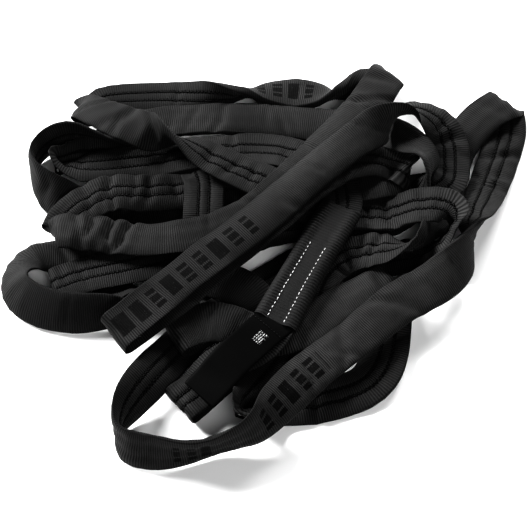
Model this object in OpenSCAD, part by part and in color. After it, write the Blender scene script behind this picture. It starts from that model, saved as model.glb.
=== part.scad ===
// Polyester round sling, lying in a loose heap on a flat surface.
//
// One endless tube of woven cover holds three bundles of load-bearing yarn.
// The tube lies flat: one face is plain and carries printed marks, the other is
// closed by two rows of stitching that run the whole way round. A ribbed label
// sleeve hides the join of the cover, and a flat label tag is sewn in under the
// sleeve's lower end. Units are millimetres, +Z is up, and the heap rests on Z = 0
// with the middle of its outline on the Z axis.

/* [Cover] */
// Width of the cover lying flat
cover_width = 54; // [40:1:70]
// Thickness of the filled cover in the middle of its width
cover_thickness = 10; // [6:0.5:14]
// Thickness of the cover's woven wall
cover_wall = 1.2; // [0.8:0.1:2]
// Gap left between the two ends of the cover, under the label sleeve
join_gap = 1; // [0.5:0.5:4]

/* [Load yarn] */
// Width of one bundle of load-bearing yarn
bundle_width = 14; // [8:0.5:15]
// Distance between the middles of neighbouring bundles
bundle_pitch = 14.5; // [10:0.5:16]

/* [Seam] */
// Distance between the two rows of stitching that close the cover
seam_spacing = 14; // [8:1:24]
// Width of a row of stitching
seam_width = 1.6; // [0.8:0.1:3]
// How far a row of stitching stands out of the cover
seam_height = 0.5; // [0.2:0.1:1]

/* [Label sleeve] */
// Length of the label sleeve along the sling
sleeve_length = 190; // [120:5:220]
// Thickness of the sleeve's ribbed webbing
sleeve_wall = 1.4; // [0.8:0.1:3]
// Clearance between the cover and the sleeve
sleeve_clearance = 0.5; // [0.2:0.1:2]
// Distance between the sleeve's two rows of white stitching
row_spacing = 22; // [14:1:34]
// Number of stitches in each white row
row_stitches = 20; // [10:1:40]
// Length of one white stitch
stitch_length = 4; // [1.5:0.1:5]
// Thickness of the white thread
stitch_thread = 0.9; // [0.5:0.1:1.5]

/* [Label tag] */
// Length of the loose part of the tag
tag_length = 112; // [100:1:120]
// Width of the tag
tag_width = 50; // [30:1:54]
// Thickness of the tag
tag_thickness = 1.2; // [0.6:0.1:2]
// Length of the part of the tag that is sewn down below the sleeve
anchor_length = 11; // [8:1:12]
// Number of stitches that hold the tag down
anchor_stitches = 9; // [3:1:15]

/* [Output] */
// Node to draw

/* [Hidden] */
$fn = 48;

// ---- Route of the sling -------------------------------------------------
// Each point is [x, y, z, roll, width factor]. The cover's width lies level at
// roll 0 with the plain face up and at roll 180 with the stitched face up; it
// stands on edge at 90 or 270. The width factor is under 1 where it is pinched.

// out of the label sleeve, up and over to the hidden turn behind it
sleeve_run_out = [
    [69, 29, 37, 180, 1], [99, 87, 37, 180, 1], [97, 125, 37, 180, 1], [72, 156, 31, 180, 1]
];
// leftwards under the top strap, flat, stitched face up
back_left_run = [
    [35, 180, 31, 180, 1], [-10, 195, 20, 180, 1], [-55, 190, 23, 180, 1], [-100, 185, 23, 180, 1],
    [-145, 180, 15, 180, 1], [-195, 170, 19, 180, 1], [-240, 160, 26, 165, 1], [-270, 165, 25, 130, 1],
    [-285, 170, 28, 95, 1]
];
// on its edge round the inner left turn and back under the heap
inner_left_turn = [
    [-270, 180, 21, 115, 0.75], [-240, 190, 12, 165, 1], [-190, 195, 5, 180, 1], [-140, 200, 5, 180, 1],
    [-105, 190, 8, 180, 1]
];
// down the middle towards the front edge
front_drop = [
    [-80, 140, 25, 180, 1], [-80, 105, 24, 180, 1], [-80, 75, 14, 180, 1], [-70, 35, 5, 180, 1],
    [-75, -10, 5, 180, 1], [-80, -60, 5, 180, 1], [-105, -100, 10, 190, 1], [-135, -145, 26, 205, 1],
    [-160, -180, 27, 225, 1]
];
// on its edge round the front left corner
front_corner = [
    [-170, -200, 27, 245, 1], [-175, -220, 27, 270, 1], [-160, -240, 26, 300, 1], [-130, -245, 26, 300, 1],
    [-85, -245, 28, 275, 1], [-50, -235, 30, 270, 1]
];
// the long front strap, printed face up, rising to the right
front_strap = [
    [-15, -225, 37, 290, 1], [15, -190, 37, 335, 1], [60, -140, 34, 355, 1], [110, -100, 34, 360, 1],
    [160, -55, 34, 360, 1], [215, -20, 35, 355, 1], [250, 15, 33, 320, 1], [265, 55, 28, 270, 0.75]
];
// the large right-hand loop, lower leg and fold
right_loop_low = [
    [270, 75, 26, 215, 1], [290, 125, 16, 185, 1], [315, 190, 7, 180, 1], [330, 240, 5, 180, 1],
    [330, 275, 5, 180, 1]
];
// the large right-hand loop, upper leg, folded over the lower
right_loop_high = [
    [330, 275, 19, 0, 1], [295, 250, 18, 0, 1], [270, 220, 13, 0, 1], [250, 185, 8, 0, 1],
    [240, 140, 5, 0, 1], [235, 105, 8, 5, 1]
];
// on its edge through the tight kink right of the middle
kink = [
    [220, 80, 19, 45, 0.75], [205, 55, 33, 75, 0.65], [195, 35, 37, 90, 0.65], [180, 30, 32, 125, 0.7],
    [155, 30, 31, 170, 1], [120, 30, 24, 180, 1], [90, 20, 18, 180, 1]
];
// down-left under the label sleeve
middle_diagonal = [
    [65, -15, 15, 180, 1], [60, -45, 12, 180, 1], [40, -85, 14, 180, 1], [20, -125, 15, 180, 1],
    [-5, -160, 19, 185, 1], [-25, -180, 19, 215, 0.9]
];
// a tight turn, then right along the floor at the front
front_hook = [
    [-40, -190, 24, 265, 0.85], [-30, -195, 22, 225, 0.9], [10, -180, 8, 185, 1], [50, -175, 5, 180, 1],
    [90, -165, 5, 180, 1], [125, -150, 5, 180, 1], [145, -120, 5, 180, 1], [155, -75, 5, 180, 1],
    [160, -30, 5, 180, 1], [160, -10, 5, 180, 1]
];
// folded over and back up-left, printed face up
middle_band = [
    [160, -10, 19, 0, 1], [125, -30, 22, 0, 1], [85, -55, 25, 0, 1], [45, -85, 25, 0, 1],
    [5, -95, 25, 0, 1], [-30, -85, 26, 0, 1]
];
// a short fold below the top strap
small_fold = [
    [-55, -75, 31, 0, 1], [-85, -80, 29, 0, 1], [-110, -95, 34, 0, 1], [-110, -95, 20, 180, 1],
    [-80, -80, 19, 180, 1], [-55, -60, 16, 180, 1]
];
// right along the floor
lower_right_run = [
    [-20, -25, 8, 180, 1], [15, 0, 5, 180, 1], [55, 25, 5, 180, 1], [100, 25, 5, 180, 1],
    [150, 30, 5, 180, 1], [190, 35, 8, 185, 1]
];
// on its edge round a small ear and back left
right_ear = [
    [225, 40, 25, 235, 1], [245, 65, 41, 270, 1], [240, 80, 51, 205, 0.9], [190, 90, 39, 183, 1],
    [165, 85, 26, 180, 1], [125, 90, 22, 180, 1], [80, 90, 27, 180, 1]
];
// up-left over the back runs, then a half twist
rising_run = [
    [45, 105, 25, 180, 1], [5, 130, 31, 180, 1], [-40, 150, 34, 180, 1], [-80, 170, 39, 175, 1],
    [-105, 185, 45, 150, 1], [-130, 195, 49, 90, 0.8], [-155, 205, 46, 25, 1], [-195, 225, 44, 0, 1],
    [-230, 250, 36, 0, 1], [-250, 265, 24, 0, 1]
];
// along the back edge, with two half twists
back_edge = [
    [-250, 265, 10, 180, 1], [-220, 290, 6, 180, 1], [-180, 295, 5, 180, 1], [-130, 295, 7, 180, 1],
    [-85, 290, 12, 165, 0.85], [-40, 295, 16, 90, 0.6], [-5, 300, 12, 15, 0.85], [40, 300, 9, 0, 1],
    [80, 295, 12, 15, 0.85], [110, 295, 16, 90, 0.6], [140, 310, 15, 170, 1], [170, 315, 17, 180, 1]
];
// folded at the top, down-left beside the top strap
second_diagonal = [
    [170, 315, 31, 0, 1], [145, 270, 36, 0, 1], [115, 230, 39, 0, 1], [85, 190, 41, 0, 1],
    [45, 140, 43, 0, 1], [5, 95, 41, 0, 1], [-40, 65, 37, 0, 1]
];
// left, printed face up, to the fold at the left
left_band = [
    [-75, 50, 37, 0, 1], [-115, 40, 41, 0, 1], [-165, 40, 37, 0, 1], [-215, 50, 38, 0, 1],
    [-265, 55, 36, 0, 1]
];
// folded under and back right
left_band_under = [
    [-265, 55, 22, 180, 1], [-255, 80, 24, 180, 1], [-230, 100, 29, 180, 1], [-200, 115, 31, 180, 1],
    [-160, 120, 25, 180, 1], [-115, 130, 16, 180, 1]
];
// under the heap to the right
hidden_right_run = [
    [-65, 135, 14, 180, 1], [-5, 140, 21, 180, 1], [60, 160, 9, 180, 1], [115, 140, 8, 180, 1],
    [155, 125, 15, 180, 1], [205, 125, 16, 180, 1]
];
// round the high arc at the right
high_arc = [
    [240, 135, 24, 180, 1], [245, 165, 22, 180, 1], [245, 200, 29, 180, 1], [230, 225, 41, 175, 1]
];
// a half twist, then the top strap down-left over everything
top_strap = [
    [195, 235, 54, 150, 1], [170, 220, 65, 100, 0.8], [145, 195, 69, 30, 1], [110, 170, 65, 0, 1],
    [50, 115, 63, 0, 1], [-5, 60, 59, 0, 1], [-60, 10, 57, 0, 1], [-115, -40, 55, 0, 1],
    [-155, -80, 53, 0, 1], [-180, -100, 49, 0, 1]
];
// folded under and straight back up below the top strap
top_strap_under = [
    [-180, -100, 35, 180, 1], [-155, -85, 42, 180, 1], [-105, -45, 45, 180, 1], [-50, 10, 47, 180, 1],
    [5, 60, 50, 180, 1], [60, 115, 53, 180, 1], [110, 150, 51, 180, 1], [145, 160, 43, 180, 1],
    [170, 160, 30, 180, 1], [185, 145, 43, 180, 1]
];
// folded, then left near the floor
low_left_run = [
    [185, 145, 29, 0, 1], [155, 135, 33, 0, 1], [125, 130, 30, 0, 1], [80, 125, 18, 0, 1],
    [25, 110, 12, 0, 1], [-20, 120, 9, 0, 1], [-75, 115, 5, 0, 1], [-115, 120, 5, 0, 1],
    [-150, 110, 5, 0, 1], [-195, 100, 6, 0, 1]
];
// on its edge round the outer left loop
outer_left_loop = [
    [-240, 105, 10, 10, 1], [-275, 120, 23, 45, 1], [-300, 145, 28, 75, 1], [-310, 170, 27, 88, 1],
    [-295, 195, 29, 88, 1], [-260, 210, 35, 88, 1], [-220, 215, 27, 40, 1], [-185, 225, 23, 0, 1]
];
// right along the wide back band, printed face up
wide_back_band = [
    [-135, 240, 21, 0, 1], [-80, 245, 22, 0, 1], [-25, 250, 17, 0, 1], [30, 245, 16, 0, 1],
    [75, 240, 18, 0, 1], [120, 230, 22, 0, 1], [155, 220, 30, 0, 1]
];
// over the high arc, then down on its edge
right_dive = [
    [180, 200, 42, 5, 1], [200, 180, 48, 15, 1], [215, 160, 52, 40, 1], [215, 135, 48, 75, 0.75],
    [210, 130, 39, 130, 0.7]
];
// left along the floor
floor_left_run = [
    [190, 110, 11, 175, 1], [160, 90, 5, 180, 1], [110, 85, 5, 180, 1], [65, 85, 5, 180, 1],
    [5, 75, 5, 180, 1], [-35, 55, 17, 180, 1], [-85, 30, 28, 180, 1], [-145, 15, 25, 180, 1],
    [-190, 5, 23, 180, 1], [-235, -5, 20, 180, 1], [-265, -20, 21, 180, 1]
];
// folded, then round the outer lower left loop
lower_left_loop = [
    [-265, -20, 7, 0, 1], [-235, -20, 7, 0, 1], [-195, -25, 11, 10, 1], [-160, -25, 19, 50, 0.7],
    [-140, -40, 16, 90, 0.5], [-160, -55, 17, 80, 0.6], [-190, -55, 22, 50, 0.85], [-235, -60, 23, 45, 1],
    [-280, -50, 23, 45, 1], [-310, -30, 24, 50, 1], [-315, 0, 21, 40, 1], [-295, 30, 12, 15, 1],
    [-250, 35, 5, 0, 1], [-195, 35, 5, 0, 1], [-145, 20, 10, 0, 1], [-95, 5, 15, 0, 1]
];
// down through the middle to the last fold
centre_band = [
    [-45, -15, 22, 0, 1], [-15, -35, 22, 0, 1], [0, -70, 6, 0, 1], [-15, -90, 5, 0, 1],
    [-40, -120, 5, 0, 1], [-70, -150, 5, 0, 1], [-95, -175, 5, 0, 1], [-100, -180, 5, 0, 1]
];
// folded and up into the label sleeve
sleeve_run_in = [
    [-100, -180, 19, 180, 1], [-80, -165, 20, 180, 1], [-60, -140, 32, 180, 1], [-30, -125, 37, 180, 1],
    [-5, -110, 36, 180, 1], [15, -75, 37, 180, 1], [42, -23, 37, 180, 1]
];
route = concat(
    sleeve_run_out, back_left_run, inner_left_turn, front_drop,
    front_corner, front_strap, right_loop_low, right_loop_high,
    kink, middle_diagonal, front_hook, middle_band,
    small_fold, lower_right_run, right_ear, rising_run,
    back_edge, second_diagonal, left_band, left_band_under,
    hidden_right_run, high_arc, top_strap, top_strap_under,
    low_left_run, outer_left_loop, wide_back_band, right_dive,
    floor_left_run, lower_left_loop, centre_band, sleeve_run_in
);
// Puts the middle of the heap's outline on the Z axis and its lowest point at Z = 0
heap_offset = [-10.5, -41.5, 0.2];

// ---- Sweep along the route ----------------------------------------------
function unit(v) = v / norm(v);
function level(v) = [v[0], v[1], 0];
points = len(route);
function stop(i) = route[(i + points) % points];
function place(i) = let (s = stop(i)) [s[0], s[1], s[2]] + heap_offset;
function heading(i) = unit(level(place(i + 1) - place(i - 1)));
function across(i) = let (h = heading(i), roll = stop(i)[3])
    cos(roll) * [h[1], -h[0], 0] + sin(roll) * [0, 0, 1];

// A fold is two points one above the other: it needs a ring at its bend too
fold_reach = 1;
function rings_from(i) = norm(level(place(i + 1) - place(i))) < fold_reach ? 2 : 1;
function between(a, b, c, d, t) = 0.5 * (2 * b + (c - a) * t
    + (2 * a - 5 * b + 4 * c - d) * t * t + (3 * b - a - 3 * c + d) * t * t * t);
function slope(a, b, c, d, t) = 0.5 * (c - a
    + 2 * (2 * a - 5 * b + 4 * c - d) * t + 3 * (3 * b - a - 3 * c + d) * t * t);
function mix(a, b, t) = a * (1 - t) + b * t;

// A frame is [middle, direction of the width, outward normal of the plain face, width factor]
function frame_at(i, t) = let (
    a = place(i - 1), b = place(i), c = place(i + 1), d = place(i + 2),
    along = unit(slope(a, b, c, d, t)),
    flat = mix(across(i), across(i + 1), t),
    wide = unit(flat - (flat * along) * along))
    [between(a, b, c, d, t), wide, cross(wide, along), mix(stop(i)[4], stop(i + 1)[4], t)];
lap = [for (i = [0:points - 1]) let (n = rings_from(i)) for (k = [0:n - 1]) frame_at(i, k / n)];

// The cover is cut under the label sleeve: its far end stops just short of its start
start = lap[0];
start_along = cross(start[2], start[1]);
frames = concat(lap, [[start[0] - join_gap * start_along, start[1], start[2], start[3]]]);

// A pinched cover is narrower and a little thicker
pinch_gain = 0.6;
function on_frame(f, p) =
    f[0] + p[0] * f[3] * f[1] + p[1] * (1 + pinch_gain * (1 - f[3])) * f[2];

// Side faces of a tube: ring after ring of m points, numbered from `first`
function skin(m, n, first = 0) = [for (r = [0:n - 2], s = [0:m - 1]) each let (
    a = first + r * m + s, b = first + r * m + (s + 1) % m) [[a, b, b + m], [a, b + m, a + m]]];
function flipped(faces) = [for (f = faces) [for (k = [len(f) - 1:-1:0]) f[k]]];

// A solid strand of the given outline [[across, out], ...] all the way round
module strand(outline, path = frames) {
    m = len(outline);
    n = len(path);
    polyhedron(
        points = [for (f = path, p = outline) on_frame(f, p)],
        faces = concat(skin(m, n),
            [[for (s = [m - 1:-1:0]) s]], [[for (s = [0:m - 1]) (n - 1) * m + s]]),
        convexity = 20);
}

// A hollow tube between two outlines with the same number of points, open at both ends
module tube(outer, inner) {
    m = len(outer);
    n = len(frames);
    inside = m * n;
    last = (n - 1) * m;
    start_ring = [for (s = [0:m - 1]) each let (e = (s + 1) % m)
        [[inside + s, inside + e, e], [inside + s, e, s]]];
    end_ring = [for (s = [0:m - 1]) each let (e = (s + 1) % m)
        [[last + s, last + e, inside + last + e], [last + s, inside + last + e, inside + last + s]]];
    polyhedron(
        points = concat([for (f = frames, p = outer) on_frame(f, p)],
            [for (f = frames, p = inner) on_frame(f, p)]),
        faces = concat(skin(m, n), flipped(skin(m, n, inside)), start_ring, end_ring),
        convexity = 20);
}

// ---- Section of the cover -----------------------------------------------
// Half width and half thickness at the shoulders, as shares of the whole
shoulder_in = 0.75;
shoulder_out = 0.72;
function lens(half_width, half_thickness) = let (
    u = shoulder_in * half_width, v = shoulder_out * half_thickness)
    [[half_width, 0], [u, v], [0, half_thickness], [-u, v],
     [-half_width, 0], [-u, -v], [0, -half_thickness], [u, -v]];
cover_half = [cover_width / 2, cover_thickness / 2];
// Two layers of wall meet along each edge, so the hollow stops further in there
edge_layers = 2.5;
hollow_half = cover_half - [edge_layers * cover_wall, cover_wall];
function shoulder_height(x, half) = let (u = abs(x) / half[0])
    u < shoulder_in
        ? half[1] * (1 - (1 - shoulder_out) * u / shoulder_in)
        : half[1] * shoulder_out * (1 - u) / (1 - shoulder_in);

module cover_sleeve() {
    color([0.09, 0.09, 0.09])
        tube(lens(cover_half[0], cover_half[1]), lens(hollow_half[0], hollow_half[1]));
}

// ---- Load yarn ----------------------------------------------------------
yarn_slack = 0.3;
module yarn_bundle(side) {
    middle = side * bundle_pitch;
    outer = abs(middle) + bundle_width / 2;
    top = shoulder_height(middle, hollow_half) - yarn_slack;
    reach = min(bundle_width / 2, hollow_half[0] - abs(middle) - yarn_slack);
    color([0.85, 0.83, 0.76])
        strand([[middle + reach, 0], [middle, top], [middle - reach, 0], [middle, -top]]);
}
module core_yarn_left() { yarn_bundle(-1); }
module core_yarn_middle() { yarn_bundle(0); }
module core_yarn_right() { yarn_bundle(1); }

// ---- Seam rows on the stitched face -------------------------------------
module seam_row(side) {
    middle = side * seam_spacing / 2;
    face = shoulder_height(middle, cover_half);
    bite = 0.6;
    color([0.03, 0.03, 0.03])
        strand([[middle + seam_width / 2, -face + bite], [middle - seam_width / 2, -face + bite],
                [middle, -face - seam_height]]);
}
module seam_thread_left() { seam_row(-1); }
module seam_thread_right() { seam_row(1); }

// ---- Label sleeve -------------------------------------------------------
// The sleeve keeps its stretch of the sling straight. Its frame stands at its lower
// end, with +X up along the sling and +Y to the left.
sleeve_foot = [12, -81, 37] + heap_offset;
sleeve_turn = 62.7;
sleeve_grow = [sleeve_clearance * 1.6, sleeve_clearance];
sleeve_bore = cover_half + sleeve_grow;
sleeve_half = sleeve_bore + [sleeve_wall * 1.2, sleeve_wall];

module in_sleeve() {
    translate(sleeve_foot) rotate([0, 0, sleeve_turn]) children();
}
module along_x(length) {
    rotate([90, 0, 90]) linear_extrude(length) children();
}

module label_sleeve() {
    color([0.2, 0.2, 0.2]) in_sleeve() along_x(sleeve_length) difference() {
        polygon(lens(sleeve_half[0], sleeve_half[1]));
        polygon(lens(sleeve_bore[0], sleeve_bore[1]));
    }
}

// One white row: short thread stitches lying half sunk in the sleeve's upper face
row_margin = 4;
module white_row(side) {
    y = side * row_spacing / 2;
    lift = shoulder_height(y, sleeve_half);
    tilt = -side * atan((1 - shoulder_out) * sleeve_half[1] / (shoulder_in * sleeve_half[0]));
    pitch = (sleeve_length * 0.66 - 2 * row_margin) / row_stitches;
    color([0.92, 0.92, 0.9]) in_sleeve() for (k = [0:row_stitches - 1])
        translate([row_margin + k * pitch, y, lift]) rotate([tilt, 0, 0])
            translate([0, -stitch_thread / 2, -stitch_thread / 2])
                cube([stitch_length, stitch_thread, stitch_thread]);
}
module sleeve_stitches_left() { white_row(1); }
module sleeve_stitches_right() { white_row(-1); }

// ---- Join of the cover --------------------------------------------------
// Two rows of thread round the cover, one on each side of the cut, under the sleeve
join_at = 123.5;
join_row_gap = 12;
join_thread = 0.4;
module cover_join_stitches() {
    color([0.03, 0.03, 0.03]) in_sleeve() for (side = [-1, 1])
        translate([join_at + side * join_row_gap / 2, 0, 0]) along_x(1) difference() {
            polygon(lens(cover_half[0] + join_thread, cover_half[1] + join_thread));
            polygon(lens(cover_half[0], cover_half[1]));
        }
}

// ---- Label tag ----------------------------------------------------------
// The tag starts at the sleeve's lower end, a little askew of the sleeve's line, and
// drapes over the run below. Its side view is [distance from the bend, height].
tag_turn = 226;
anchor_start = 7.5;
tag_bend = anchor_start + anchor_length;
tag_drape = [[0, 43], [14, 43.2], [42, 43.5], [68, 40.5], [92, 32], [tag_length, 27]];
module in_tag() {
    translate([sleeve_foot[0], sleeve_foot[1], 0]) rotate([0, 0, tag_turn]) children();
}
module side_view(line) {
    translate([0, tag_width / 2, 0]) rotate([90, 0, 0]) linear_extrude(tag_width)
        polygon(concat(line, [for (k = [len(line) - 1:-1:0]) line[k] + [0, tag_thickness]]));
}
module label_tag() {
    color([0.05, 0.05, 0.05]) in_tag()
        translate([tag_bend, 0, 0]) side_view(tag_drape);
}

// The sewn-down end of the tag lies on the cover, against the sleeve's lower end
anchor_gap = 0.3;
anchor_level = tag_drape[0][1];
module tag_anchor() {
    color([0.05, 0.05, 0.05]) in_tag()
        side_view([[anchor_start, anchor_level], [tag_bend - anchor_gap, anchor_level]]);
}
module tag_stitches() {
    span = tag_width - 12;
    pitch = span / (anchor_stitches - 1);
    color([0.5, 0.5, 0.5]) in_tag() for (k = [0:anchor_stitches - 1])
        translate([anchor_start + anchor_length / 2, k * pitch - span / 2, anchor_level + tag_thickness])
            cube([stitch_thread, stitch_length, stitch_thread], center = true);
}

cover_sleeve();
core_yarn_left();
core_yarn_middle();
core_yarn_right();
seam_thread_left();
seam_thread_right();
cover_join_stitches();
label_sleeve();
sleeve_stitches_left();
sleeve_stitches_right();
tag_anchor();
tag_stitches();
label_tag();
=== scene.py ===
import math

import bpy
import numpy as np
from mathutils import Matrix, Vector
from mathutils.bvhtree import BVHTree


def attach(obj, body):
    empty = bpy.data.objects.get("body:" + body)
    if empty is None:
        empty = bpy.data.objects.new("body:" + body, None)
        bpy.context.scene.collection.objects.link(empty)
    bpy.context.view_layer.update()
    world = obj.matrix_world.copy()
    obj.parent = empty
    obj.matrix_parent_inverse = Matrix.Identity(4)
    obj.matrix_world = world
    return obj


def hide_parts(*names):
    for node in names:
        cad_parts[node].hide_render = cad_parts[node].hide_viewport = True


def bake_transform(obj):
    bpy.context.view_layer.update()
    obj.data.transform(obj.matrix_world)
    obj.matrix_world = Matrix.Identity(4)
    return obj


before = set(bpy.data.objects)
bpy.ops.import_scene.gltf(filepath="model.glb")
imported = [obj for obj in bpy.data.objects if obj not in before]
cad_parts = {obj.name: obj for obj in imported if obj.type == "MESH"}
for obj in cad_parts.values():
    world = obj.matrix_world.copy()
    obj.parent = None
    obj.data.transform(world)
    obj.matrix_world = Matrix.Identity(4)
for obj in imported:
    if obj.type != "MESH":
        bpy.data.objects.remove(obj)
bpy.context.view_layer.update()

MM = 0.001
rng = np.random.default_rng(20)

# ---- camera
ORIGIN = np.array([-10.5, -41.5, 0.2]) * MM  # the route's frame in the CAD frame
AIM = ORIGIN + np.array([0.0, 0.0, 40.0]) * MM
ELEVATION = math.radians(58)
DISTANCE = 1.656  # metres from the aim


def new_object(name, data):
    """An object in the scene for a mesh, a light or a camera."""
    made = bpy.data.objects.new(name, data)
    bpy.context.scene.collection.objects.link(made)
    return made


camera = new_object("camera", bpy.data.cameras.new("camera"))
camera.data.lens = 90
camera.data.sensor_width = 36
camera.location = AIM + DISTANCE * np.array([0, -math.cos(ELEVATION), math.sin(ELEVATION)])
camera.rotation_euler = (math.pi / 2 - ELEVATION, 0, 0)
bpy.context.scene.camera = camera

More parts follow.
